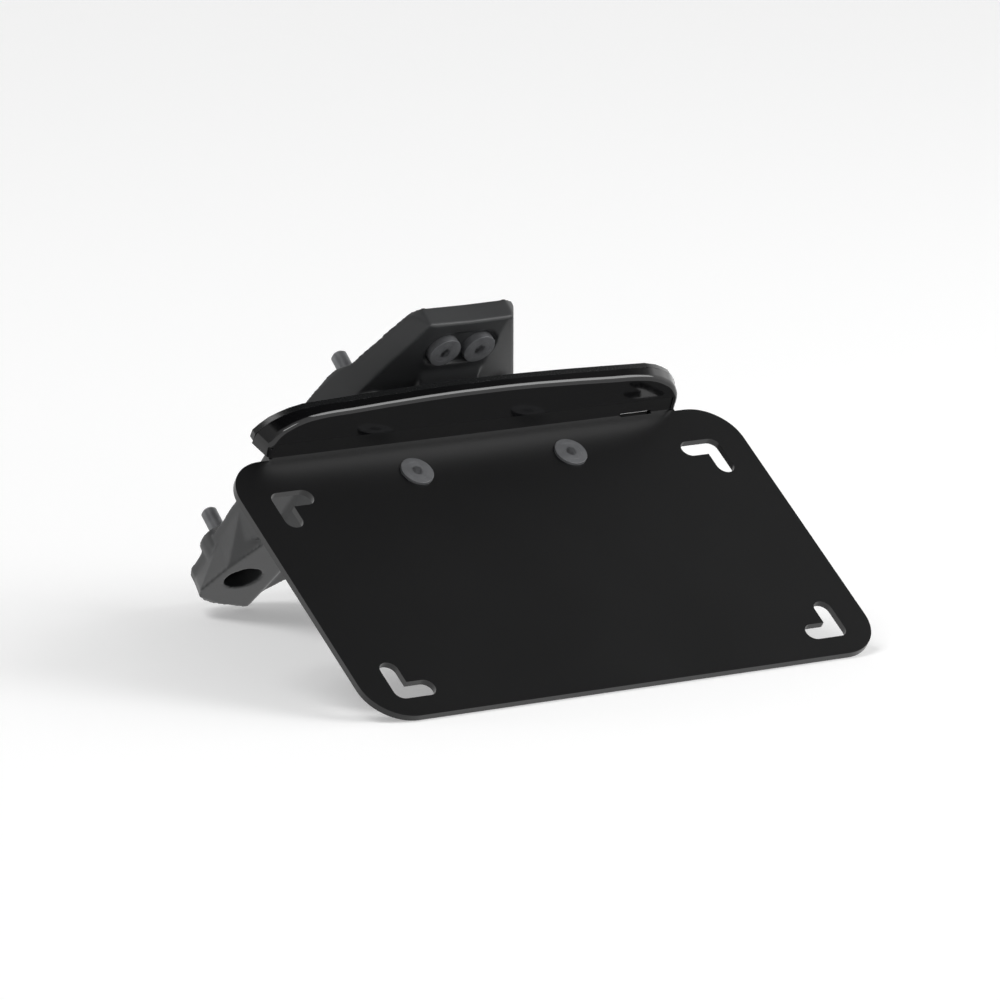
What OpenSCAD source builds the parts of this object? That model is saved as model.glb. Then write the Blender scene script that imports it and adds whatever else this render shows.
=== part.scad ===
// Fender eliminator: bent number plate carrier, light bar and four-bolt tail bracket.
// All sizes in mm. It stands as it is laid down: plate edge and bracket feet on the floor.
// Plate frame: x across, u up the plate, s out of its face. Tail frame: x, w, q along the bolts.

/* [Plate] */
// width of the plate carrier
plate_w = 182; // [165:1:200]
// plate length below the top slots' inner corners
plate_drop = 84.5; // [80:0.5:95]
// sheet thickness
sheet = 2; // [1.5:0.1:2.5]
// corner radius of the plate
corner_r = 14; // [8:1:20]
// lean of the plate from level as it lies
plate_tilt = 36.27; // [32:0.1:38]
// distance between the slots' inner corners, side to side
slot_span = 150; // [146:1:152]
// distance between the slots' inner corners, top to bottom
slot_rise = 71.5; // [68:0.5:73]
// slot width
slot_w = 6; // [5:0.1:7]
// length of each slot arm
slot_arm = 14.25; // [12:0.25:16]

/* [Lip] */
// where the lip's face meets the plate's face, above the top slots
lip_u = 19.65; // [18.5:0.05:21]
// angle the lip is bent through
lip_bend = 76.2; // [72:0.1:82]
// inside radius of the bend
bend_r = 1; // [0.8:0.1:2]
// height of the lip
lip_h = 4.3; // [3.8:0.1:4.4]
// width of the lip at its root
lip_w = 151; // [149:0.5:151.2]
// fillet on the lip's ends
lip_fillet = 3.5; // [2:0.1:3.5]
// length of the wire slit in the bend
slit_l = 11.4; // [6:0.1:14]
// width of the wire slit
slit_w = 1.1; // [0.8:0.1:1.3]
// slit position across the lip
slit_x = 59; // [50:1:62]

/* [Light bar] */
// back plane of the light above the top slots
light_back = 28.1; // [27.6:0.1:28.6]
// thickness of the light's back plate
back_t = 1.9; // [1.7:0.1:2.1]
// half width of the light at its base
light_half = 75.9; // [75:0.1:76.5]
// crown height of the light above the plate's face
light_top = 15.1; // [14.5:0.1:15.4]
// how far the lens stands proud of the lip
lens_proud = 0.3; // [0.1:0.1:0.8]
// wall thickness of the lens
lens_wall = 2; // [1.8:0.1:2.2]
// number of white diodes
led_count = 6; // [4:2:6]
// spacing of the diodes
led_pitch = 18; // [16:1:19]

/* [Tail bracket] */
// slope of the mounting bolts above level as it lies
bolt_tilt = 42.7; // [41.5:0.1:43.5]
// height of the mounting face along the bolts
face_q = 49.7; // [49:0.1:50.5]
// top of the four bosses
boss_q = 52; // [51:0.1:53]
// half spacing of the lower bolts
lower_x = 37.6; // [36.5:0.1:38]
// lower bolts' distance along the bracket
lower_w = 86; // [84:0.5:87]
// half spacing of the upper bolts
upper_x = 23; // [22:0.1:24]
// upper bolts' distance along the bracket
upper_w = 13.1; // [12.6:0.1:14]
// radius of the bosses
boss_r = 7.3; // [7:0.1:7.5]
// radius of the counterbores
sink_r = 5.8; // [5.4:0.1:6]
// height of the lower feet's face at the middle of the bracket
foot_q = 15.85; // [15:0.05:16.5]
// rise of the feet's face outwards
foot_rise_x = 0.127; // [0.1:0.001:0.15]
// rise of the feet's face towards the far end
foot_rise_w = 0.172; // [0.16:0.001:0.19]
// inner edge of the feet
foot_x = 27.2; // [26.5:0.1:28]
// half width of the pad round the pocket
pad_half = 12.3; // [12:0.1:12.6]
// fall of the faces beside the pad, in degrees
pad_fall = 9.7; // [8:0.1:11]
// inset of the open bays from the moulding's sides
bay_wall = 4; // [3.5:0.1:5]

/* [Fasteners] */
// mounting bolt thread diameter
bolt_d = 5; // [5:0.1:5.2]
// diameter of the bolts' reduced shank
bolt_shank_d = 4.5; // [4.3:0.1:4.5]
// mounting bolt length under the head
bolt_l = 16; // [14:0.5:18]
// mounting bolt head diameter
bolt_head_d = 8.5; // [8:0.1:9]
// height of the washer seats in the bracket
seat_q = 46.9; // [46:0.1:47.5]
// washer diameter
washer_d = 10; // [9:0.1:10.5]
// flat-head screw thread diameter
screw_d = 6; // [6:0.1:6]
// flat-head screw head diameter
screw_head_d = 10.4; // [9.5:0.1:11]
// width of the screws' hex sockets
screw_hex = 3; // [2.5:0.5:4]
// height of the plate screws' heads
plate_head_h = 0.9; // [0.8:0.1:1.2]
// height of the pocket screws' heads
pocket_head_h = 2.4; // [2:0.1:2.6]
// depth of the pocket
pocket_depth = 1; // [0.8:0.1:1.5]
// half spacing of the plate screws
plate_screw_x = 27.8; // [26:0.1:29]
// plate screws' height above the top slots
plate_screw_u = 7.2; // [6:0.1:8]
// half spacing of the pocket screws
pocket_screw_x = 6.2; // [5.8:0.1:7]
// pocket screws' distance from the plate's face
pocket_screw_s = 15.6; // [14.5:0.1:16]
// plane of the pocket face above the top slots
pocket_u = 40.1; // [39.8:0.1:40.6]

/* [Hidden] */
$fn = 64;
turn = bolt_tilt - plate_tilt;
ground = plate_drop * sin(plate_tilt) + sheet * cos(plate_tilt);
tip_w = (ground + sin(bolt_tilt) * (foot_q + foot_rise_x * foot_x))
      / (cos(bolt_tilt) - foot_rise_w * sin(bolt_tilt));
end_y = tip_w * sin(bolt_tilt) + face_q * cos(bolt_tilt);
mid_y = (end_y - plate_drop * cos(plate_tilt)) / 2;
bend_tan = bend_r * tan(lip_bend / 2);
foot_back = 3;
insert_r = 4;
insert_l = 8;
lens_back = light_back - back_t;
board_t = 1;
board_face = lens_back - board_t;
mid_q = 39.5;
shell_q = 46.3;
tower_q = 31.5;
wall_s = -sheet - foot_back;
slope_u = 31;
rib = 1.6;
slope_s = 7.5;
seat_u = 22;
recess_w = 22;
pad_lean = 4.2;
neck_x = pad_half - 1.5;
lobe_q = face_q + 0.2;
flank_x = 17.5;
flank_lean = 115.12;
flank_yaw = -25.45;

function tw(u, s) = u * sin(turn) - s * cos(turn);
function tq(u, s) = u * cos(turn) + s * sin(turn);
function pad_q(w) = (pocket_u - w * sin(turn)) / cos(turn);
function foot_at(x, w) = foot_q + foot_rise_x * abs(x) + foot_rise_w * w;
function mirrored(p) = concat(p, [for (i = [len(p) - 1 : -1 : 0]) if (p[i][0] > 0.01) [-p[i][0], p[i][1]]]);

// outline of the mounting face, x and w
edge_half = [[0, -21.7], [15.2, -22], [17.9, -20.8], [20.6, -17.4], [42, 27.5], [42.9, 64.7], [44.6, 97.9], [43.6, 101], [39, tip_w - 1.2], [foot_x, tip_w], [14, tip_w - 10],
    [0, tip_w - 15.5]];
// back outline of the light, x and s from its base
loaf_half = [[75.9, 1.3], [76.1, 4], [74.6, 6.2], [72.2, 8.7], [69.4, 10.3], [66.4, 11.65],
    [61.8, 12.85], [45.1, 13.75], [30, 14.45], [15, 14.9], [0, 15.1]];

// frames
module plate_frame() {
    translate([0, -mid_y, ground]) rotate([plate_tilt, 0, 0]) children();
}
module tail_frame() {
    translate([0, -mid_y, ground]) rotate([bolt_tilt - 90, 0, 0]) children();
}
module lip_frame() {
    plate_frame() translate([0, lip_u, 0]) rotate([lip_bend, 0, 0]) children();
}
module along_u(u0, u1) {
    translate([0, u1, 0]) rotate([90, 0, 0]) linear_extrude(u1 - u0) children();
}
module both() {
    children();
    mirror([1, 0, 0]) children();
}

// solid between two outlines with the same number of corners
module loft(low, high) {
    n = len(low);
    polyhedron(points = concat(low, high),
        faces = concat([[for (i = [0 : n - 1]) i]],
            [[for (i = [n - 1 : -1 : 0]) n + i]],
            [for (i = [0 : n - 1]) [i, n + i, (i + 1) % n]],
            [for (i = [0 : n - 1]) [(i + 1) % n, n + i, n + (i + 1) % n]]));
}

// round bar along the bolts, at x and w
module post(x, w, q0, q1, r) {
    translate([x, w, q0]) cylinder(h = q1 - q0, r = r);
}

// the sheet
module slot_2d() {
    half = slot_w / 2;
    arm = slot_arm - slot_w;
    translate([half, half]) {
        circle(half);
        translate([-arm, 0]) circle(half);
        translate([0, -arm]) circle(half);
        translate([-arm, -half]) square([arm, slot_w]);
        translate([-half, -arm]) square([slot_w, arm]);
    }
}
module plate_2d() {
    top = lip_u - bend_tan;
    difference() {
        union() {
            translate([-plate_w / 2 + corner_r, -plate_drop])
                square([plate_w - 2 * corner_r, plate_drop + top]);
            translate([-plate_w / 2, -plate_drop + corner_r])
                square([plate_w, plate_drop + top - 2 * corner_r]);
            for (x = [-1, 1], v = [-plate_drop + corner_r, top - corner_r])
                translate([x * (plate_w / 2 - corner_r), v]) circle(corner_r);
        }
        both() {
            translate([slot_span / 2, 0]) slot_2d();
            translate([slot_span / 2, -slot_rise]) mirror([0, 1]) slot_2d();
            translate([plate_screw_x, plate_screw_u]) circle(screw_d / 2 + 0.3);
        }
    }
}
module lip_2d() {
    difference() {
        translate([0.2 - lip_w / 2, bend_tan]) square([lip_w - 0.4, lip_h - bend_tan]);
        both() translate([lip_w / 2, bend_tan + lip_fillet + 0.4]) circle(lip_fillet);
    }
}
module plate_bracket() {
    color("#1b1b1c") difference() {
        union() {
            plate_frame() {
                translate([0, 0, -sheet]) linear_extrude(sheet) plate_2d();
                translate([0, lip_u - bend_tan, bend_r]) rotate([0, 90, 0])
                    rotate_extrude(angle = lip_bend)
                        translate([bend_r, -lip_w / 2]) square([sheet, lip_w]);
            }
            lip_frame() translate([0, 0, -sheet]) linear_extrude(sheet) lip_2d();
        }
        plate_frame() translate([slit_x - slit_l / 2, lip_u - 0.3, 0.3]) rotate([lip_bend / 2, 0, 0])
            translate([0, -slit_w / 2, -sheet * 3]) cube([slit_l, slit_w, sheet * 5]);
    }
}

// the moulded tail bracket
module across(half) {
    rotate([90, 0, 90]) translate([0, 0, -half]) linear_extrude(2 * half) children();
}
module body_block() {
    intersection() {
        translate([0, 0, -10]) linear_extrude(boss_q + 10) polygon(mirrored(edge_half));
        across(60) polygon([[2, lobe_q], [-30, lobe_q], [-30, pad_q(-30)], [recess_w, pad_q(recess_w)],
            [tw(seat_u, wall_s), tq(seat_u, wall_s)], [tw(-4, wall_s), tq(-4, wall_s)],
            [tw(-4, wall_s) + 9, tq(-4, wall_s)], [60, tower_q], [72, mid_q], [130, mid_q],
            [130, face_q], [24, face_q], [19.2, lobe_q + 0.3], [9.5, boss_q - 0.1], [6.5, boss_q - 0.1]]);
        translate([0, 130, 0]) rotate([90, 0, 0]) linear_extrude(180) polygon([[-60, boss_q],
            [-60, mid_q], [-41, 30], [-36, 18], [-34, -8], [34, -8], [36, 18], [41, 30], [60, mid_q],
            [60, boss_q]]);
    }
}
module side_cut_upper() {
    both() intersection() {
        translate([flank_x, -17.8, 44.35]) rotate([0, flank_lean, flank_yaw])
            translate([-90, -90, 0]) cube([180, 180, 40]);
        translate([0, -60, 30]) cube([90, 60 + 32, 60]);
    }
}
// clears the faces that fall back beside the pad
module pad_sides() {
    both() rotate([90 - turn, 0, 0]) translate([pad_half, pocket_u, pocket_screw_s]) rotate([0, pad_lean, 0])
        translate([0, 0, wall_s - pocket_screw_s]) linear_extrude(50)
            polygon([[0, 0], [60, 60 * tan(pad_fall)], [60, -10], [0, -10]]);
}
module neck() {
    across(neck_x) polygon([
        [tw(pocket_u + 2, slope_s + 5), tq(pocket_u + 2, slope_s + 5)],
        [tw(pocket_u - 3, slope_s - 7.5), tq(pocket_u - 3, slope_s - 7.5)],
        [tw(slope_u, wall_s), tq(slope_u, wall_s)], [tw(seat_u - 3, wall_s), tq(seat_u - 3, wall_s)],
        [36, tower_q], [36, 46], [tw(pocket_u + 2, slope_s + 5), 46]]);
}
module foot() {
    low = [[36.5, 44], [41.4, 65.5], [46.2, 80], [48.6, 93.5], [46.6, tip_w - 6.6], [38, tip_w - 2.2],
        [foot_x, tip_w], [foot_x, 44]];
    high = [[42.2, 44], [42.95, 65.5], [43.75, 80], [44.6, 97.9], [43.6, 101], [38, tip_w - 1.1],
        [9, tip_w - 13], [9, 44]];
    loft([for (p = low) [p[0], p[1], foot_at(p[0], p[1])]], [for (p = high) [p[0], p[1], shell_q]]);
}
// open bay beside the middle rib, clear of the bosses
module bay() {
    in_x = bay_wall;
    intersection() {
        translate([0, 0, -12]) linear_extrude(boss_q + 13) polygon([[rib, 8], [upper_x - boss_r - 2, 8],
            [upper_x - boss_r - 2, upper_w + boss_r + 3], [31, upper_w + boss_r + 4], [37.5, 34],
            [38.5, lower_w - boss_r - 5], [lower_x - boss_r - 6, lower_w - 2], [rib, lower_w - 4]]);
        across(60) polygon([[tw(0, wall_s) + 7, 4], [tw(0, wall_s) + 10, 4], [60, tower_q + 4],
            [72, mid_q + 4], [100, mid_q + 4], [100, boss_q + 1], [tw(0, wall_s) + 7, boss_q + 1]]);
        translate([0, 130, 0]) rotate([90, 0, 0]) linear_extrude(180) polygon([[60 - in_x, boss_q + 1],
            [60 - in_x, mid_q + in_x], [41 - in_x, 30], [36 - in_x, 18], [34 - in_x, -8], [0, -8],
            [0, boss_q + 1]]);
    }
}
module tail_bracket() {
    color("#3a3b3c") difference() {
        union() {
            tail_frame() {
                difference() {
                    union() {
                        difference() {
                            body_block();
                            side_cut_upper();
                            pad_sides();
                        }
                        neck();
                        both() foot();
                        both() post(lower_x, lower_w, mid_q, boss_q, boss_r);
                        both() post(upper_x, upper_w, 40, boss_q, boss_r);
                    }
                    both() bay();
                }
            }
            plate_frame() both() translate([plate_screw_x, plate_screw_u, wall_s - insert_l - 2.5])
                cylinder(h = insert_l + 1.5, r = insert_r + 2);
        }
        tail_frame() both() {
            post(lower_x, lower_w, 0, seat_q, sink_r);
            post(lower_x, lower_w, 0, boss_q + 1, bolt_d / 2 + 0.25);
            post(upper_x, upper_w, 25, seat_q, sink_r);
            post(upper_x, upper_w, 25, boss_q + 1, bolt_d / 2 + 0.25);
        }
        plate_frame() {
            both() {
                translate([plate_screw_x, plate_screw_u, wall_s - insert_l])
                    cylinder(h = insert_l + 1, r = insert_r);
                translate([plate_screw_x, plate_screw_u, wall_s - insert_l - 1.5])
                    cylinder(h = insert_l, r = screw_d / 2 + 0.3);
                translate([pocket_screw_x, 0, pocket_screw_s]) rotate([-90, 0, 0]) {
                    translate([0, 0, pocket_u - 5]) cylinder(h = pocket_depth + 5, r = screw_head_d / 2 + 1.1);
                    cylinder(h = pocket_u + pocket_depth + 6, r = insert_r);
                }
            }
            translate([-pocket_screw_x, pocket_u - 5, pocket_screw_s - screw_head_d / 2 - 1.1])
                cube([2 * pocket_screw_x, pocket_depth + 5, screw_head_d + 2.2]);
        }
    }
}

// the light bar
function inset_s(s, inset) = s < 2 ? s + inset : s - inset * max(0, min(1, (s - 4) / 6.3));
function loaf(inset) = [for (p = mirrored(loaf_half)) [p[0] * light_half / 75.9 * (1 - inset / light_half),
    inset_s(1.3 + (p[1] - 1.3) * (light_top - 1.3) / 13.8, inset)]];
module loaf_body(inset, u0, u1) {
    along_u(u0, u1) polygon(loaf(inset));
}
module light_lens() {
    front = light_half - 3.6;
    color("#0c0d0e") difference() {
        plate_frame() intersection() {
            loaf_body(0, 16, lens_back);
            linear_extrude(20) polygon([[-front, 16], [front, 16], [light_half + 0.3, lens_back - 1],
                [light_half + 0.3, 30], [-light_half - 0.3, 30], [-light_half - 0.3, lens_back - 1]]);
        }
        lip_frame() {
            translate([-90, -20, lens_proud]) cube([180, 60, 20]);
            translate([-74, -20, -sheet]) cube([148, 20 + lip_h + 0.2, 20]);
            translate([-80, -20, -sheet]) cube([160, 22.5, 20]);
        }
        difference() {
            plate_frame() intersection() {
                loaf_body(lens_wall, 16, lens_back + 1);
                translate([0, 0, -1]) linear_extrude(20) polygon([[2.5 - front, 16], [front - 2.5, 16],
                    [light_half - 2, lens_back + 2], [2 - light_half, lens_back + 2]]);
            }
            lip_frame() {
                translate([-90, -20, lens_proud - lens_wall]) cube([180, 60, 20]);
                translate([-90, -20, -sheet - 1.5]) cube([180, 26, 20]);
            }
        }
    }
}
module light_seal() {
    color("#26282a") plate_frame() difference() {
        loaf_body(lens_wall, lens_back - 0.8, lens_back);
        loaf_body(lens_wall + 0.8, lens_back - 1, lens_back + 1);
    }
}
module foot_2d() {
    translate([plate_screw_x - 8, plate_screw_u]) square([16, light_back - plate_screw_u]);
    translate([plate_screw_x, plate_screw_u]) circle(8);
}
module light_housing() {
    color("#141516") plate_frame() difference() {
        union() {
            loaf_body(0, lens_back, light_back);
            both() {
                translate([0, 0, wall_s]) linear_extrude(foot_back) foot_2d();
                translate([plate_screw_x - 8, light_back - 3, wall_s]) cube([16, 3, 1.3 - wall_s]);
                translate([plate_screw_x - 8, lens_back, 0]) cube([16, back_t, 3]);
            }
        }
        both() {
            translate([plate_screw_x, plate_screw_u, wall_s - 1]) cylinder(h = foot_back + 2, r = 4.2);
            translate([52, board_face, 6.8]) rotate([-90, 0, 0]) cylinder(h = board_t + 1.5, r = 1);
        }
        for (x = [-2.5, 2.5]) translate([x, lens_back - 1, 5.5]) rotate([-90, 0, 0])
            cylinder(h = back_t + 2, r = 0.5);
    }
}
module housing_foot_sleeves() {
    color("#8d8f92") plate_frame() both() translate([plate_screw_x, plate_screw_u, wall_s]) difference() {
        cylinder(h = foot_back, r = 4.2);
        translate([0, 0, -1]) cylinder(h = foot_back + 2, r = screw_d / 2 + 0.15);
    }
}
module light_circuit_board() {
    color("#e8eae6") plate_frame() difference() {
        translate([-60, board_face, 4.4]) cube([120, board_t, 4.8]);
        both() translate([52, board_face - 1, 6.8]) rotate([-90, 0, 0]) cylinder(h = 4, r = 1.1);
    }
}
module led_row(w, h, t, s, shift) {
    for (i = [0 : led_count - 1])
        translate([(i - (led_count - 1) / 2) * led_pitch - w / 2 + shift, board_face - t, s - h / 2])
            cube([w, t, h]);
}
module plate_light_leds() {
    color("#f3edc4") plate_frame() led_row(3.5, 2.8, 0.7, 7, 0);
}
module light_resistors() {
    color("#222327") plate_frame() led_row(2, 1, 0.5, 5.2, 6);
}
module board_screws() {
    color("#b9bbbd") plate_frame() both() translate([52, board_face, 6.8]) rotate([-90, 0, 0]) difference() {
        union() {
            translate([0, 0, -0.9]) cylinder(h = 0.9, r = 1.8);
            cylinder(h = board_t + 1.4, r = 1);
        }
        translate([0, 0, -1.4]) cylinder(h = 1, r = 0.8, $fn = 6);
    }
}
module light_connector() {
    color("#1d1f21") plate_frame() difference() {
        translate([-6, light_back, 3]) cube([12, 4, 5]);
        translate([-5, light_back + 1, 4]) cube([10, 4, 3]);
        for (x = [-2.5, 2.5]) translate([x, light_back - 1, 5.5]) rotate([-90, 0, 0]) cylinder(h = 3, r = 0.5);
    }
}
module connector_pins() {
    color("#c9a45c") plate_frame() for (x = [-2.5, 2.5])
        translate([x, lens_back, 5.5]) rotate([-90, 0, 0]) cylinder(h = back_t + 3.4, r = 0.5);
}

// fasteners
module cap_bolt() {
    r = bolt_d / 2;
    neck_r = bolt_shank_d / 2;
    free = boss_q - seat_q + 1;
    difference() {
        rotate_extrude() polygon([[0, -5], [bolt_head_d / 2 - 0.4, -5], [bolt_head_d / 2, -4.6],
            [bolt_head_d / 2, 0], [neck_r, 0], [neck_r, free], [r, free], [r, bolt_l - 0.7],
            [r - 0.7, bolt_l], [0, bolt_l]]);
        translate([0, 0, -6]) cylinder(h = 3.5, r = 4 / sqrt(3), $fn = 6);
    }
}
module washer() {
    difference() {
        cylinder(h = 1, r = washer_d / 2);
        translate([0, 0, -1]) cylinder(h = 3, r = bolt_d / 2 + 0.15);
    }
}
module flat_screw(len, head_h) {
    r = screw_head_d / 2;
    difference() {
        rotate_extrude() polygon([[0, -len], [screw_d / 2 - 0.6, -len], [screw_d / 2, 0.6 - len],
            [screw_d / 2, 0], [r, 0], [r, head_h - 0.25], [r - 0.25, head_h], [0, head_h]]);
        translate([0, 0, head_h - 2]) cylinder(h = 3, r = screw_hex / sqrt(3), $fn = 6);
    }
}
module insert(len) {
    difference() {
        cylinder(h = len, r = insert_r);
        translate([0, 0, -1]) cylinder(h = len + 2, r = screw_d / 2);
    }
}
module lower_mounting_bolts() {
    color("#4a4b4d") tail_frame() both() translate([lower_x, lower_w, seat_q - 1]) cap_bolt();
}
module upper_mounting_bolts() {
    color("#4a4b4d") tail_frame() both() translate([upper_x, upper_w, seat_q - 1]) cap_bolt();
}
module lower_bolt_washers() {
    color("#6c6e71") tail_frame() both() translate([lower_x, lower_w, seat_q - 1]) washer();
}
module upper_bolt_washers() {
    color("#6c6e71") tail_frame() both() translate([upper_x, upper_w, seat_q - 1]) washer();
}
module plate_screws() {
    color("#545558") plate_frame() both() translate([plate_screw_x, plate_screw_u, 0]) flat_screw(13, plate_head_h);
}
module plate_screw_inserts() {
    color("#b08d4a") plate_frame() both() translate([plate_screw_x, plate_screw_u, wall_s - insert_l])
        insert(insert_l);
}
module pocket_screws() {
    color("#545558") plate_frame() both() translate([pocket_screw_x, pocket_u + pocket_depth, pocket_screw_s])
        rotate([90, 0, 0]) flat_screw(5.4, pocket_head_h);
}
module pocket_screw_inserts() {
    color("#b08d4a") plate_frame() both() translate([pocket_screw_x, pocket_u + pocket_depth, pocket_screw_s])
        rotate([-90, 0, 0]) insert(6);
}

plate_bracket();
tail_bracket();
light_lens();
light_housing();
light_seal();
light_circuit_board();
plate_light_leds();
light_resistors();
board_screws();
light_connector();
connector_pins();
lower_mounting_bolts();
upper_mounting_bolts();
lower_bolt_washers();
upper_bolt_washers();
plate_screws();
plate_screw_inserts();
pocket_screws();
pocket_screw_inserts();
housing_foot_sleeves();
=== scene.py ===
import bpy
import bmesh
import math
from mathutils import Matrix, Vector


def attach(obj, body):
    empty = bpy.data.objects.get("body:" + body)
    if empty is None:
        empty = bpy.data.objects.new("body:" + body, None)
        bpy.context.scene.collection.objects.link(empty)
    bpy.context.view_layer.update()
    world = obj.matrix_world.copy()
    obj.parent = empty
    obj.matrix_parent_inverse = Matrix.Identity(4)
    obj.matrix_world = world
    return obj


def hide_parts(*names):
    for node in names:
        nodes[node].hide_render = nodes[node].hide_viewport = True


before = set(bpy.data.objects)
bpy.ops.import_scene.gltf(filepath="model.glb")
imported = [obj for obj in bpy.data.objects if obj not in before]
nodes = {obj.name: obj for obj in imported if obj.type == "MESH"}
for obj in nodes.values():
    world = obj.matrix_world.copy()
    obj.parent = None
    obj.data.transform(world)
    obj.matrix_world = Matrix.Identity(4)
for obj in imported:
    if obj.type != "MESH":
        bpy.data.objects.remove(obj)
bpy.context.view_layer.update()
print("frame loaded")

mm = 0.001

# how the part lies: the plate's lean and the bolts' slope, in degrees, and the height of the slots' line
lying = {"plateLean": 36.27, "boltSlope": 42.7, "slotHeight": 51.602, "slotBack": -19.679}


def frameMatrix(turn, shift=(0, 0, 0)):
    place = Matrix.Translation((0, lying["slotBack"] * mm, lying["slotHeight"] * mm))
    return place @ Matrix.Rotation(math.radians(turn), 4, "X") @ Matrix.Translation(Vector(shift) * mm)


# x across, y up the plate, z out of its face
plateFrame = frameMatrix(lying["plateLean"])
# x across, y along the lip's height, z out of the lip's face
lipFrame = plateFrame @ Matrix.Translation((0, 19.65 * mm, 0)) @ Matrix.Rotation(math.radians(76.2), 4, "X")
# x across, y towards the feet, z along the mounting bolts
tailFrame = frameMatrix(lying["boltSlope"] - 90)


# materials

def hexColour(code):
    channels = [int(code[i:i + 2], 16) / 255 for i in (0, 2, 4)]
    return [c / 12.92 if c <= 0.04045 else ((c + 0.055) / 1.055) ** 2.4 for c in channels] + [1]


def addNode(material, kind, settings=None, links=None):
    node = material.node_tree.nodes.new(kind)
    for name, value in (settings or {}).items():
        if isinstance(name, str) and hasattr(node, name):
            setattr(node, name, value)
        else:
            node.inputs[name].default_value = value
    for name, source in (links or {}).items():
        material.node_tree.links.new(source, node.inputs[name])
    return node


def newMaterial(name, colour, roughness, **sockets):
    material = bpy.data.materials.new(name)
    material.use_nodes = True
    shader = material.node_tree.nodes["Principled BSDF"]
    shader.inputs["Base Color"].default_value = hexColour(colour)
    shader.inputs["Roughness"].default_value = roughness
    for socket, value in sockets.items():
        shader.inputs[socket.replace("_", " ")].default_value = value
    place = addNode(material, "ShaderNodeTexCoord")
    return material, shader, place.outputs["Object"]


def setRamp(node, stops):
    ramp = node.color_ramp
    ramp.elements[0].position, ramp.elements[0].color = stops[0][0], stops[0][1]
    ramp.elements[1].position, ramp.elements[1].color = stops[-1][0], stops[-1][1]
    for position, colour in stops[1:-1]:
        ramp.elements.new(position).color = colour


def grey(value):
    return (value, value, value, 1)


# Steel sheet, blasted and powder coated in satin black: flat, with the faint orange peel that a baked powder leaves
def powderCoatedSteel():
    coat = {"colour": "070708", "roughness": 0.32, "peelSpacing": 1.1, "peelHeight": 0.02, "cloudSpacing": 45}
    material, shader, where = newMaterial("powderCoatedSteel", coat["colour"], coat["roughness"], IOR=1.5)
    tree = material.node_tree
    peel = addNode(material, "ShaderNodeTexNoise", {"Scale": 1000 / coat["peelSpacing"], "Detail": 2.0, "Roughness": 0.45},
                   {"Vector": where})
    cloud = addNode(material, "ShaderNodeTexNoise", {"Scale": 1000 / coat["cloudSpacing"], "Detail": 3.0}, {"Vector": where})
    gloss = addNode(material, "ShaderNodeMapRange", {"To Min": 0.29, "To Max": 0.34}, {"Value": cloud.outputs["Fac"]})
    bump = addNode(material, "ShaderNodeBump", {"Strength": 0.35, "Distance": coat["peelHeight"] * mm},
                   {"Height": peel.outputs["Fac"]})
    tree.links.new(gloss.outputs["Result"], shader.inputs["Roughness"])
    tree.links.new(bump.outputs["Normal"], shader.inputs["Normal"])
    return material


# Nylon 6 with glass fibre, injection moulded in a spark-eroded tool: even satin grain, slightly paler flow clouds
def glassFilledNylon():
    nylon = {"dark": "242526", "light": "2a2b2c", "grain": 0.55, "grainHeight": 0.03, "flow": 22}
    material, shader, where = newMaterial("glassFilledNylon", nylon["dark"], 0.5, IOR=1.53)
    tree = material.node_tree
    flow = addNode(material, "ShaderNodeTexNoise", {"Scale": 1000 / nylon["flow"], "Detail": 4.0, "Distortion": 0.6},
                   {"Vector": where})
    tint = addNode(material, "ShaderNodeValToRGB", {}, {"Fac": flow.outputs["Fac"]})
    setRamp(tint, [(0.3, hexColour(nylon["dark"])), (0.75, hexColour(nylon["light"]))])
    grain = addNode(material, "ShaderNodeTexNoise", {"Scale": 1000 / nylon["grain"], "Detail": 2.0, "Roughness": 0.6},
                    {"Vector": where})
    satin = addNode(material, "ShaderNodeMapRange", {"To Min": 0.4, "To Max": 0.52}, {"Value": grain.outputs["Fac"]})
    bump = addNode(material, "ShaderNodeBump", {"Strength": 0.3, "Distance": nylon["grainHeight"] * mm},
                   {"Height": grain.outputs["Fac"]})
    tree.links.new(tint.outputs["Color"], shader.inputs["Base Color"])
    tree.links.new(satin.outputs["Result"], shader.inputs["Roughness"])
    tree.links.new(bump.outputs["Normal"], shader.inputs["Normal"])
    return material


# Acrylic, dyed near black and polished in the mould: mirror gloss with a slow waviness
def smokedAcrylic():
    lens = {"colour": "050506", "roughness": 0.09, "waveSpacing": 30, "waveHeight": 0.05}
    material, shader, where = newMaterial("smokedAcrylic", lens["colour"], lens["roughness"], IOR=1.49, Coat_Weight=0.2,
                                          Coat_Roughness=0.03)
    wave = addNode(material, "ShaderNodeTexNoise", {"Scale": 1000 / lens["waveSpacing"], "Detail": 1.0}, {"Vector": where})
    dust = addNode(material, "ShaderNodeTexNoise", {"Scale": 900.0, "Detail": 4.0}, {"Vector": where})
    film = addNode(material, "ShaderNodeMapRange", {"From Min": 0.45, "From Max": 0.75, "To Min": 0.07, "To Max": 0.14},
                   {"Value": dust.outputs["Fac"]})
    bump = addNode(material, "ShaderNodeBump", {"Strength": 0.25, "Distance": lens["waveHeight"] * mm},
                   {"Height": wave.outputs["Fac"]})
    material.node_tree.links.new(film.outputs["Result"], shader.inputs["Roughness"])
    material.node_tree.links.new(bump.outputs["Normal"], shader.inputs["Normal"])
    return material


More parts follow.
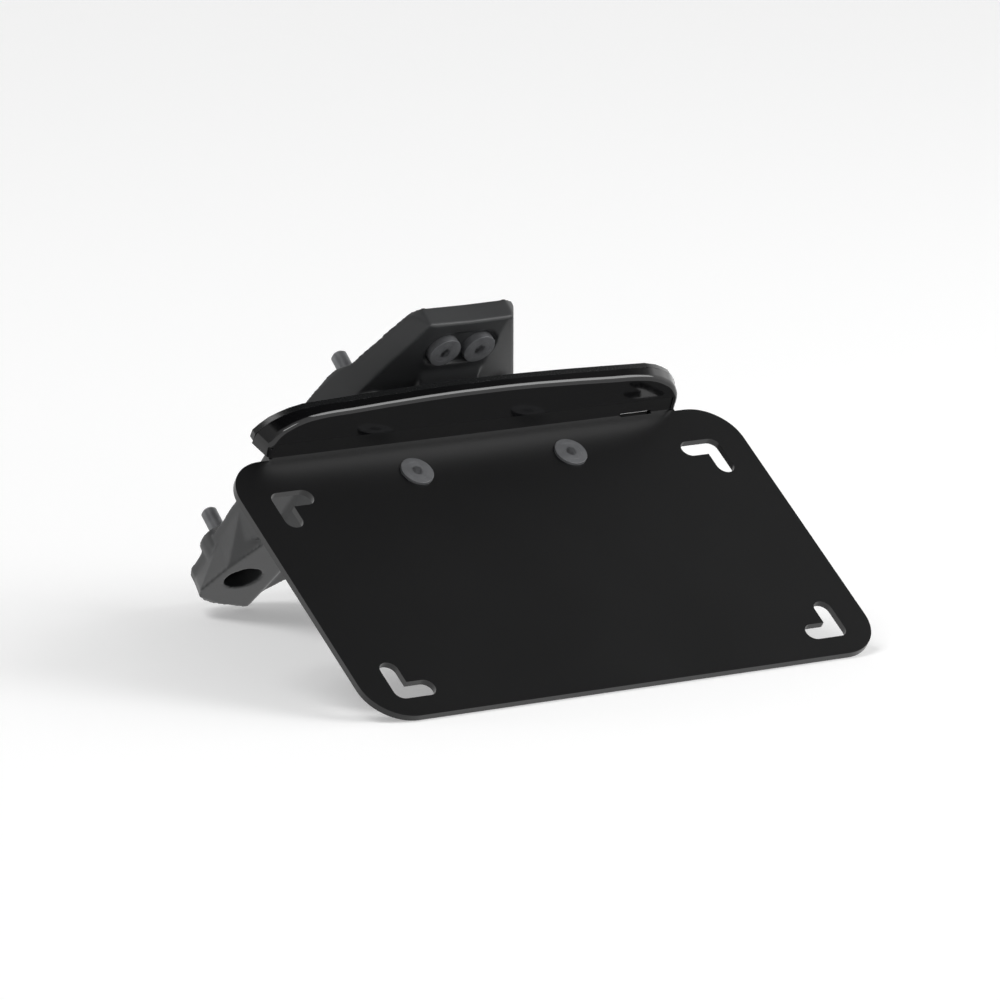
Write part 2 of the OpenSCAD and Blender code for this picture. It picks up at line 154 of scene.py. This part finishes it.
# ABS, moulded and welded to the lens: semi gloss black, finely grained
def moulded(name, colour, low, high, grainSize):
    material, shader, where = newMaterial(name, colour, low, IOR=1.53)
    grain = addNode(material, "ShaderNodeTexNoise", {"Scale": 1000 / grainSize, "Detail": 3.0}, {"Vector": where})
    satin = addNode(material, "ShaderNodeMapRange", {"To Min": low, "To Max": high}, {"Value": grain.outputs["Fac"]})
    bump = addNode(material, "ShaderNodeBump", {"Strength": 0.25, "Distance": 0.015 * mm}, {"Height": grain.outputs["Fac"]})
    material.node_tree.links.new(satin.outputs["Result"], shader.inputs["Roughness"])
    material.node_tree.links.new(bump.outputs["Normal"], shader.inputs["Normal"])
    return material


# turned, rolled or plated metal: fine lathe lines round each piece's own axis would be too fine, so an even fine scratch
def workedMetal(name, colour, dull, roughLow, roughHigh, scratch, metallic=1.0):
    material, shader, where = newMaterial(name, colour, roughLow, Metallic=metallic)
    tree = material.node_tree
    fine = addNode(material, "ShaderNodeTexNoise", {"Scale": 1000 / scratch, "Detail": 5.0, "Roughness": 0.7}, {"Vector": where})
    stain = addNode(material, "ShaderNodeTexNoise", {"Scale": 260.0, "Detail": 3.0}, {"Vector": where})
    tint = addNode(material, "ShaderNodeValToRGB", {}, {"Fac": stain.outputs["Fac"]})
    setRamp(tint, [(0.35, hexColour(dull)), (0.6, hexColour(colour))])
    satin = addNode(material, "ShaderNodeMapRange", {"To Min": roughLow, "To Max": roughHigh}, {"Value": fine.outputs["Fac"]})
    bump = addNode(material, "ShaderNodeBump", {"Strength": 0.2, "Distance": 0.01 * mm}, {"Height": fine.outputs["Fac"]})
    tree.links.new(tint.outputs["Color"], shader.inputs["Base Color"])
    tree.links.new(satin.outputs["Result"], shader.inputs["Roughness"])
    tree.links.new(bump.outputs["Normal"], shader.inputs["Normal"])
    return material


finish = {
    "powderCoat": powderCoatedSteel(),
    "nylon": glassFilledNylon(),
    "acrylic": smokedAcrylic(),
    # ABS back of the light, semi gloss
    "abs": moulded("glossAbs", "0e0f10", 0.2, 0.32, 0.5),
    # PA66 socket, dull black
    "socketNylon": moulded("socketNylon", "1a1b1c", 0.45, 0.6, 0.4),
    # silicone bead, soft sheen
    "silicone": moulded("siliconeSealant", "0c0d0e", 0.45, 0.6, 1.2),
    # matt black: the painted shade inside the slit
    "slitShade": moulded("slitShadeBlack", "040404", 0.85, 0.95, 0.8),
    # white solder mask over glass epoxy
    "solderMask": moulded("whiteSolderMask", "e6e8e3", 0.3, 0.42, 0.3),
    # cerium phosphor under clear silicone
    "phosphor": moulded("diodePhosphor", "efe3a0", 0.2, 0.35, 0.2),
    # ruthenium oxide chip on alumina
    "chip": moulded("chipResistor", "1e1f23", 0.35, 0.5, 0.2),
    # cold-headed steel under baked zinc flake: a dull, even grey that gleams only at its edges
    "zincFlake": workedMetal("zincFlakeCoatedSteel", "6c6d6f", "616264", 0.4, 0.5, 0.25, 0.4),
    # near-white steel for the hex sockets: a painted reflection of the bright room, much brighter than the heads
    "bareSteel": workedMetal("paintedSocketReflection", "f2f1ee", "dddcd9", 0.4, 0.5, 0.25, 0.15),
    # bright zinc on mild steel
    "zinc": workedMetal("brightZinc", "a9adb0", "92979b", 0.3, 0.42, 0.3),
    # knurled brass insert, as turned
    "brass": workedMetal("turnedBrass", "c9a45c", "b08d4a", 0.25, 0.38, 0.25),
}
print("materials made")


def addPiece(name, mesh, finishNames, replaced, smoothAngle=35):
    piece = bpy.data.objects.new(name, mesh)
    bpy.context.scene.collection.objects.link(piece)
    piece.data.materials.clear()
    for finishName in finishNames.split():
        piece.data.materials.append(finish[finishName])
    for face in piece.data.polygons:
        face.use_smooth = True
    piece.data.set_sharp_from_angle(angle=math.radians(smoothAngle))
    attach(piece, "root")
    if replaced:
        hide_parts(*replaced)
    return piece


def meshFrom(form, name):
    bmesh.ops.recalc_face_normals(form, faces=form.faces)
    mesh = bpy.data.meshes.new(name)
    form.to_mesh(mesh)
    form.free()
    return mesh


def mergedCopy(nodeName, size=0.00001):
    form = bmesh.new()
    form.from_mesh(nodes[nodeName].data)
    bmesh.ops.remove_doubles(form, verts=form.verts, dist=size)
    return form


def flatten(form, degrees=1.0):
    bmesh.ops.dissolve_limit(form, angle_limit=math.radians(degrees), verts=form.verts, edges=form.edges)


def boxAt(low, high, place):
    form = bmesh.new()
    bmesh.ops.create_cube(form, size=1)
    size = [(b - a) * mm for a, b in zip(low, high)]
    middle = Vector([(a + b) / 2 * mm for a, b in zip(low, high)])
    bmesh.ops.scale(form, verts=form.verts, vec=size)
    bmesh.ops.transform(form, matrix=place @ Matrix.Translation(middle), verts=form.verts)
    return form


def boxesCutFrom(form, boxes):
    target = bpy.data.objects.new("target", meshFrom(form, "target"))
    bpy.context.scene.collection.objects.link(target)
    knives = []
    for box in boxes:
        knife = bpy.data.objects.new("knife", meshFrom(box, "knife"))
        bpy.context.scene.collection.objects.link(knife)
        carve = target.modifiers.new("carve", "BOOLEAN")
        carve.operation, carve.solver, carve.object = "DIFFERENCE", "EXACT", knife
        knives.append(knife)
    carved = bpy.data.meshes.new_from_object(target.evaluated_get(bpy.context.evaluated_depsgraph_get()))
    result = bmesh.new()
    result.from_mesh(carved)
    bpy.data.meshes.remove(carved)
    for spare in knives + [target]:
        bpy.data.objects.remove(spare)
    bmesh.ops.remove_doubles(result, verts=result.verts, dist=1e-6)
    return result


def joined(form, others):
    for other in others:
        spare = meshFrom(other, "spare")
        form.from_mesh(spare)
        bpy.data.meshes.remove(spare)
    return form


# plate carrier: the sheet's own solid with its cut edges softened as powder coat does, the lip's ends cut back to
# where the lens covers them, and a crisp inner corner at the bend
carrier = {"edge": 0.32, "sharp": 50, "bendStart": 18.87, "corner": 19.65, "lipEnd": 73.4, "fillet": 1.3}


def softened(nodeName, edge, sharp, segments=3, boxes=()):
    form = mergedCopy(nodeName)
    if boxes:
        form = boxesCutFrom(form, boxes)
    flatten(form, 0.4)
    rims = [e for e in form.edges if len(e.link_faces) == 2 and e.is_convex and e.calc_face_angle(0) > math.radians(sharp)]
    bmesh.ops.bevel(form, geom=rims, offset=edge * mm, segments=segments, profile=0.5, affect="EDGES", material=-1,
                    clamp_overlap=True)
    return form


def evenNormals(piece):
    weigh = piece.modifiers.new("weighted normals", "WEIGHTED_NORMAL")
    weigh.keep_sharp = True
    weigh.weight = 80


knives = [
    boxAt((-74, carrier["bendStart"] - 0.1, 0.003), (74, carrier["corner"], carrier["fillet"]), plateFrame),
    boxAt((-74, 0, 0.003), (74, carrier["fillet"], carrier["fillet"]), lipFrame),
]
for side in (-1, 1):
    span = sorted((side * carrier["lipEnd"], side * 88))
    knives.append(boxAt((span[0], carrier["bendStart"], -6), (span[1], 40, 12), plateFrame))
form = softened("plate_bracket", carrier["edge"], carrier["sharp"], 3, knives)
plate = addPiece("plate_carrier_sheet", meshFrom(form, "plate_carrier_sheet"), "powderCoat",
                 ["plate_bracket"], 40)
evenNormals(plate)
print("plate carrier made")


# tail bracket: the moulding's solid, remeshed finely so that its corners run into each other as in a mould
moulding = {"voxel": 0.5, "soften": 5, "keep": 0.4}
bracket = addPiece("tail_bracket_moulding", meshFrom(mergedCopy("tail_bracket"), "tail_bracket_moulding"), "nylon",
                   ["tail_bracket"], 180)
remesh = bracket.modifiers.new("remesh", "REMESH")
remesh.mode = "VOXEL"
remesh.voxel_size = moulding["voxel"] * mm
remesh.use_smooth_shade = True
soften = bracket.modifiers.new("soften", "SMOOTH")
soften.factor = 0.5
soften.iterations = moulding["soften"]
fewer = bracket.modifiers.new("fewer", "DECIMATE")
fewer.ratio = moulding["keep"]
print("tail bracket made")


# light bar
def smoothOutline(points, steps, handle="AUTO"):
    curve = bpy.data.curves.new("outline", "CURVE")
    curve.dimensions = "3D"
    curve.resolution_u = steps
    line = curve.splines.new("BEZIER")
    line.bezier_points.add(len(points) - 1)
    for spot, (x, y) in zip(line.bezier_points, points):
        spot.co = (x * mm, y * mm, 0)
        spot.handle_left_type = spot.handle_right_type = handle
    holder = bpy.data.objects.new("outline", curve)
    mesh = bpy.data.meshes.new_from_object(holder)
    bpy.data.objects.remove(holder)
    form = bmesh.new()
    form.from_mesh(mesh)
    bpy.data.meshes.remove(mesh)
    return form


loaf = {
    # x across and height above the plate's face, from the left foot over the crown to the right foot
    "half": [(75.9, 0.3), (75.6, 4.0), (74.4, 6.3), (72.2, 8.7), (69.4, 10.3), (66.2, 11.6), (61.8, 12.65), (45.1, 13.7),
             (30, 14.45), (15, 14.95), (0, 15.1)],
    "lensBack": 26.2, "front": 14.0, "narrow": 0.0042, "proud": 0.3, "round": 1.35, "seam": 0.18,
    # where the lens ends above the steel lip, and how far it steps back below that
    "foot": 4.5, "footRound": 0.35, "behind": 2.0, "lipHalf": 71.9,
}


def loafBlock(y0, y1, scaleFront):
    right = loaf["half"]
    outline = smoothOutline(right + [(-x, h) for x, h in right[-2::-1]], 6)
    bmesh.ops.remove_doubles(outline, verts=outline.verts, dist=1e-7)
    bmesh.ops.contextual_create(outline, geom=outline.edges[:])
    ends = [v for v in outline.verts if len(v.link_edges) == 1]
    if ends:
        outline.edges.new(ends)
        bmesh.ops.contextual_create(outline, geom=outline.edges[:])
    # stand the outline up: its own height becomes z, and it runs along y
    bmesh.ops.transform(outline, matrix=Matrix.Translation((0, y1 * mm, 0)) @ Matrix.Rotation(math.pi / 2, 4, "X"),
                        verts=outline.verts)
    base = outline.faces[:]
    grown = bmesh.ops.extrude_face_region(outline, geom=base)
    moved = [g for g in grown["geom"] if isinstance(g, bmesh.types.BMVert)]
    bmesh.ops.translate(outline, verts=moved, vec=(0, (y0 - y1) * mm, 0))
    bmesh.ops.scale(outline, verts=moved, vec=(scaleFront, 1, scaleFront), space=Matrix.Translation((0, 0, -1.3 * mm)))
    bmesh.ops.recalc_face_normals(outline, faces=outline.faces)
    return outline


def cutAway(form, spot, normal, matrix):
    turned = matrix.to_3x3() @ Vector(normal)
    cut = bmesh.ops.bisect_plane(form, geom=form.verts[:] + form.edges[:] + form.faces[:], plane_co=matrix @ (Vector(spot) * mm),
                                 plane_no=turned, clear_outer=True, dist=1e-7)
    rim = [g for g in cut["geom_cut"] if isinstance(g, bmesh.types.BMEdge)]
    made = bmesh.ops.contextual_create(form, geom=rim)
    return made["faces"]


toLip = plateFrame.inverted() @ lipFrame


def inLip(spot):
    return toLip.inverted() @ spot


form = loafBlock(loaf["front"], loaf["lensBack"], 1 - loaf["narrow"] * (loaf["lensBack"] - loaf["front"]))
# in front it ends a hair proud of the steel lip, and between the lip's ends it steps back behind it
form = boxesCutFrom(form, [
    boxAt((-90, -20, loaf["proud"]), (90, 40, 20), toLip),
    boxAt((-loaf["lipHalf"], -20, -loaf["behind"]), (loaf["lipHalf"], loaf["foot"], 20), toLip),
])
flatten(form, 0.5)
frontEdges = [e for e in form.edges if all(abs(inLip(v.co).z - loaf["proud"] * mm) < 0.02 * mm for v in e.verts)]
inner = [e for e in frontEdges if all(abs(abs(v.co.x) - loaf["lipHalf"] * mm) < 0.02 * mm for v in e.verts)
         or all(abs(inLip(v.co).y - loaf["foot"] * mm) < 0.02 * mm for v in e.verts) or max(v.co.z for v in e.verts) < 0.4 * mm]
frontRim = [e for e in frontEdges if e not in inner]
bmesh.ops.bevel(form, geom=frontRim, offset=loaf["round"] * mm, segments=8, profile=0.5, affect="EDGES", material=-1,
                clamp_overlap=False)
footRim = [e for e in form.edges if all(abs(inLip(v.co).y - loaf["foot"] * mm) < 0.02 * mm
                                        and inLip(v.co).z > (loaf["proud"] - 0.02) * mm for v in e.verts)]
bmesh.ops.bevel(form, geom=footRim, offset=loaf["footRound"] * mm, segments=3, profile=0.5, affect="EDGES", material=-1,
                clamp_overlap=True)
backRim = [e for e in form.edges if all(abs(v.co.y - loaf["lensBack"] * mm) < 0.02 * mm for v in e.verts)
           and max(v.co.z for v in e.verts) > 2 * mm and len(e.link_faces) == 2 and e.calc_face_angle(0) > 0.8]
bmesh.ops.bevel(form, geom=backRim, offset=loaf["seam"] * mm, segments=2, profile=0.5, affect="EDGES", material=-1,
                clamp_overlap=True)
bmesh.ops.transform(form, matrix=plateFrame, verts=form.verts)
lens = addPiece("light_lens_shell", meshFrom(form, "light_lens_shell"), "acrylic", ["light_lens"], 32)
evenNormals(lens)
print("lens made")

# dark matt strip set deep inside the wires' slit in the bend: painted shade standing in for the dark of the open slit
slit = {"x": 59, "length": 11.3, "width": 1.0, "u": 19.35, "s": 0.3, "turn": 38.1, "deep": (-2.6, -1.9)}
slitFrame = plateFrame @ Matrix.Translation((slit["x"] * mm, slit["u"] * mm, slit["s"] * mm)) @ Matrix.Rotation(
    math.radians(slit["turn"]), 4, "X")
strip = boxAt((-slit["length"] / 2, -slit["width"] / 2, slit["deep"][0]), (slit["length"] / 2, slit["width"] / 2, slit["deep"][1]),
              slitFrame)
bmesh.ops.bevel(strip, geom=strip.edges[:], offset=0.15 * mm, segments=2, profile=0.5, affect="EDGES", material=-1)
addPiece("slit_painted_shade", meshFrom(strip, "slit_painted_shade"), "slitShade", None)

# rear rim and feet of the light
rim = softened("light_housing", 0.3, 35)
housing = addPiece("light_housing_rim", meshFrom(rim, "light_housing_rim"), "abs", ["light_housing"], 32)
evenNormals(housing)
print("light housing made")


# turned fasteners: a hexagon socket first, then rings outwards and down to the screw's end
def turned(hexWidth, socketDepth, faceHeight, rings, sides=48):
    form = bmesh.new()
    made = bmesh.ops.create_circle(form, cap_ends=False, segments=6, radius=hexWidth / math.sqrt(3) * mm,
                                   matrix=Matrix.Translation((0, 0, (faceHeight - socketDepth) * mm)))
    floorLoop = [e for v in made["verts"] for e in v.link_edges]
    floorLoop = list(set(floorLoop))
    bottom = bmesh.ops.contextual_create(form, geom=floorLoop)["faces"]
    bmesh.ops.poke(form, faces=bottom, offset=-0.25 * mm)
    loop = ringOut(form, floorLoop, [(None, faceHeight - 0.15), (hexWidth / math.sqrt(3) + 0.15, faceHeight)])
    # the socket, its floor and its rim take the second finish: the sockets' painted reflection
    for face in form.faces:
        face.material_index = 1
    outer = bmesh.ops.create_circle(form, cap_ends=False, segments=sides, radius=rings[0][0] * mm,
                                    matrix=Matrix.Translation((0, 0, rings[0][1] * mm)))
    outerLoop = list({e for v in outer["verts"] for e in v.link_edges})
    bmesh.ops.bridge_loops(form, edges=loop + outerLoop)
    last = ringOut(form, outerLoop, rings[1:])
    bmesh.ops.contextual_create(form, geom=last)
    bmesh.ops.recalc_face_normals(form, faces=form.faces)
    return form


def ringOut(form, loop, rings):
    for radius, height in rings:
        grown = bmesh.ops.extrude_edge_only(form, edges=loop)["geom"]
        points = [g for g in grown if isinstance(g, bmesh.types.BMVert)]
        loop = [g for g in grown if isinstance(g, bmesh.types.BMEdge)]
        if radius is not None:
            size = max(v.co.xy.length for v in points)
            bmesh.ops.scale(form, verts=points, vec=(radius * mm / size, radius * mm / size, 1))
        bmesh.ops.translate(form, verts=points, vec=(0, 0, height * mm - points[0].co.z))
    return loop


def placed(form, places):
    mesh = bpy.data.meshes.new("turned")
    form.to_mesh(mesh)
    form.free()
    together = bmesh.new()
    for place in places:
        copy = bmesh.new()
        copy.from_mesh(mesh)
        bmesh.ops.transform(copy, matrix=place, verts=copy.verts)
        turnedMesh = bpy.data.meshes.new("copy")
        copy.to_mesh(turnedMesh)
        copy.free()
        together.from_mesh(turnedMesh)
        bpy.data.meshes.remove(turnedMesh)
    bpy.data.meshes.remove(mesh)
    return together


def pair(base, x, y, z, turn=None):
    return [base @ Matrix.Translation((side * x * mm, y * mm, z * mm)) @ (turn or Matrix()) for side in (-1, 1)]


def fastener(name, form, places, node):
    # the second finish is the sockets' painted reflection
    piece = addPiece(name, meshFrom(placed(form, places), name), "zincFlake bareSteel", [node], 28)
    evenNormals(piece)


# flat-headed screws: head radius, head heights, a fine groove turned in the face
flatScrew = {"head": 5.2, "hex": 3.0, "socket": 0.5, "shank": 3.0, "groove": (3.3, 3.45, 0.025), "edge": 0.22}


def flatScrewForm(height, length):
    r, (grooveIn, grooveOut, grooveDeep), edge = flatScrew["head"], flatScrew["groove"], flatScrew["edge"]
    return turned(flatScrew["hex"], flatScrew["socket"], height, [
        (2.35, height), (grooveIn, height), (grooveIn + 0.04, height - grooveDeep), (grooveOut - 0.04, height - grooveDeep),
        (grooveOut, height), (r - edge, height), (r - 0.3 * edge, height - 0.3 * edge), (r, height - edge), (r, 0.0),
        (flatScrew["shank"], 0.0), (flatScrew["shank"], 0.6 - length), (flatScrew["shank"] - 0.6, -length)])


plateScrews = {"x": 27.8, "u": 7.2, "height": 0.9, "length": 13}
fastener("plate_flat_screws", flatScrewForm(plateScrews["height"], plateScrews["length"]),
         pair(plateFrame, plateScrews["x"], plateScrews["u"], 0), "plate_screws")
pocketScrews = {"x": 6.2, "u": 41.1, "s": 15.6, "height": 2.4, "length": 5.4}
fastener("pocket_flat_screws", flatScrewForm(pocketScrews["height"], pocketScrews["length"]),
         pair(plateFrame, pocketScrews["x"], pocketScrews["u"], pocketScrews["s"], Matrix.Rotation(math.pi / 2, 4, "X")),
         "pocket_screws")


# mounting bolts: cap heads below, reduced shank in the boss, plain stud above
bolt = {"head": 4.25, "hex": 4.0, "under": 5.0, "neck": 2.25, "stud": 2.5, "free": 6.1, "length": 16, "chamfer": 0.7,
        "seat": 45.9}


def mountingBoltForm():
    head, under, neck, stud, free, length, chamfer = (bolt[k] for k in ("head", "under", "neck", "stud", "free", "length",
                                                                        "chamfer"))
    return turned(bolt["hex"], 2.5, under, [
        (3.0, under), (head - 0.4, under), (head - 0.12, under - 0.12), (head, under - 0.4), (head, 0.0), (neck + 0.3, 0.0),
        (neck, -0.3), (neck, -free), (stud, -free), (stud, chamfer - length), (stud - chamfer, -length)], 40)


flip = Matrix.Rotation(math.pi, 4, "X")
fastener("lower_cap_bolts", mountingBoltForm(), pair(tailFrame, 37.6, 86, bolt["seat"], flip),
         "lower_mounting_bolts")
fastener("upper_cap_bolts", mountingBoltForm(), pair(tailFrame, 23, 13.1, bolt["seat"], flip),
         "upper_mounting_bolts")
print("fasteners made")

# every other solid keeps its shape and gets its finish
carriedOver = {
    "light_seal": "silicone", "light_circuit_board": "solderMask", "plate_light_leds": "phosphor",
    "light_resistors": "chip", "board_screws": "zinc", "light_connector": "socketNylon", "connector_pins": "brass",
    "lower_bolt_washers": "zinc", "upper_bolt_washers": "zinc",
    "plate_screw_inserts": "brass", "pocket_screw_inserts": "brass", "housing_foot_sleeves": "zinc",
}
for nodeName, finishName in carriedOver.items():
    piece = nodes[nodeName]
    piece.data.materials.clear()
    piece.data.materials.append(finish[finishName])
print("materials given")


# studio: pale floor, soft lamps, and the photograph's camera
def lookFrom(spot, target, lens):
    camera = bpy.data.cameras.new("camera")
    camera.lens = lens
    camera.sensor_width = 36
    camera.clip_end = 20
    holder = bpy.data.objects.new("camera", camera)
    holder.location = spot
    holder.rotation_euler = (target - spot).to_track_quat("-Z", "Y").to_euler()
    bpy.context.scene.collection.objects.link(holder)
    bpy.context.scene.camera = holder


turn, tilt = math.radians(35.0436), math.radians(10.5647)
right = Vector((math.cos(turn), -math.sin(turn), 0))
level = Vector((math.sin(turn), math.cos(turn), 0))
up = math.sin(tilt) * level + Vector((0, 0, math.cos(tilt)))
ahead = math.cos(tilt) * level - Vector((0, 0, math.sin(tilt)))
middle = Vector((0, lying["slotBack"], lying["slotHeight"]))
eye = (middle - 1.510 * right - 6.041 * up - 2406.9 * ahead) * mm
lookFrom(eye, eye + ahead, 292.55)

studio = {
    "floorLift": 0.26,
    "room": [(0.0, 1.15), (0.55, 1.15), (0.7, 0.2), (0.85, 0.06), (1.0, 0.06)],
    "sunFrom": (-0.35, 0.25, 0.9), "sunSpread": 34, "sunLevel": 1.1,
    "left": 0.35, "right": 1.1,
    "frontSpot": (0.95, -1.07, 0.98), "frontSize": (1.0, 0.9), "frontPower": 13,
    "lowSpot": (-0.1, -2.2, 0.35), "lowSize": (0.8, 0.3), "lowPower": 5,
    "windowSpot": (-1.2, 1.1, 0.35), "windowSize": (0.25, 0.5), "windowPower": 3,
}
floor = bmesh.new()
bmesh.ops.create_grid(floor, x_segments=1, y_segments=1, size=4)
floorMesh = bpy.data.meshes.new("studio_floor")
floor.to_mesh(floorMesh)
floor.free()
studioFloor = bpy.data.objects.new("studio_floor", floorMesh)
bpy.context.scene.collection.objects.link(studioFloor)
paper, paperShader, _ = newMaterial("paperFloor", "e7e7e7", 0.9)
tree = paper.node_tree
paths = addNode(paper, "ShaderNodeLightPath")
white = addNode(paper, "ShaderNodeEmission", {"Color": (1, 1, 1, 1), "Strength": 1.0})
lift = addNode(paper, "ShaderNodeEmission", {"Color": (1, 1, 1, 1), "Strength": studio["floorLift"]})
lit = addNode(paper, "ShaderNodeAddShader", {}, {0: paperShader.outputs[0], 1: lift.outputs[0]})
direct = addNode(paper, "ShaderNodeMixShader", {}, {0: paths.outputs["Is Camera Ray"], 1: paperShader.outputs[0],
                                                    2: lit.outputs[0]})
mirrored = addNode(paper, "ShaderNodeMath", {"operation": "MAXIMUM"},
                   {0: paths.outputs["Is Glossy Ray"], 1: paths.outputs["Is Transmission Ray"]})
blend = addNode(paper, "ShaderNodeMixShader", {}, {0: mirrored.outputs[0], 1: direct.outputs[0], 2: white.outputs[0]})
tree.links.new(blend.outputs[0], tree.nodes["Material Output"].inputs["Surface"])
floorMesh.materials.append(paper)

# the room: white up to about 35 degrees above the floor, then a dim ceiling; the camera sees white
world = bpy.data.worlds.new("studio")
bpy.context.scene.world = world
world.use_nodes = True
sky = world.node_tree.nodes["Background"]
skyWhere = addNode(world, "ShaderNodeTexCoord")
skyAxes = addNode(world, "ShaderNodeSeparateXYZ", {}, {0: skyWhere.outputs["Generated"]})
height = addNode(world, "ShaderNodeValToRGB", {}, {"Fac": skyAxes.outputs["Z"]})
setRamp(height, [(stop, grey(level)) for stop, level in studio["room"]])
sides = addNode(world, "ShaderNodeMapRange", {"From Min": -1.0, "From Max": 1.0, "To Min": studio["left"],
                                              "To Max": studio["right"]}, {"Value": skyAxes.outputs["X"]})
skyColour = addNode(world, "ShaderNodeVectorMath", {"operation": "MULTIPLY"},
                    {0: height.outputs["Color"], 1: sides.outputs["Result"]})
skyPaths = addNode(world, "ShaderNodeLightPath")
backdrop = addNode(world, "ShaderNodeMix", {"data_type": "RGBA"})
world.node_tree.links.new(skyPaths.outputs["Is Camera Ray"], backdrop.inputs["Factor"])
world.node_tree.links.new(skyColour.outputs["Vector"], backdrop.inputs[6])
backdrop.inputs[7].default_value = (1, 1, 1, 1)
world.node_tree.links.new(backdrop.outputs[2], sky.inputs["Color"])
sky.inputs["Strength"].default_value = 1.0


def softLamp(name, spot, target, width, height, power):
    lamp = bpy.data.lights.new(name, "AREA")
    lamp.shape = "RECTANGLE"
    lamp.size, lamp.size_y, lamp.energy = width, height, power
    holder = bpy.data.objects.new(name, lamp)
    holder.location = spot
    holder.rotation_euler = (Vector(target) - Vector(spot)).to_track_quat("-Z", "Y").to_euler()
    bpy.context.scene.collection.objects.link(holder)
    return lamp


softLamp("windowLamp", studio["windowSpot"], (0, 0, 0.05), *studio["windowSize"], studio["windowPower"])
softLamp("frontLamp", studio["frontSpot"], (0, 0, 0.08), *studio["frontSize"], studio["frontPower"])
softLamp("lowLamp", studio["lowSpot"], (0, 0, 0.09), *studio["lowSize"], studio["lowPower"])
sun = bpy.data.lights.new("softSun", "SUN")
sun.energy, sun.angle = studio["sunLevel"], math.radians(studio["sunSpread"])
sunHolder = bpy.data.objects.new("softSun", sun)
sunHolder.rotation_euler = Vector(studio["sunFrom"]).to_track_quat("Z", "Y").to_euler()
bpy.context.scene.collection.objects.link(sunHolder)
print("studio made")

bpy.context.scene.view_settings.view_transform = "Standard"
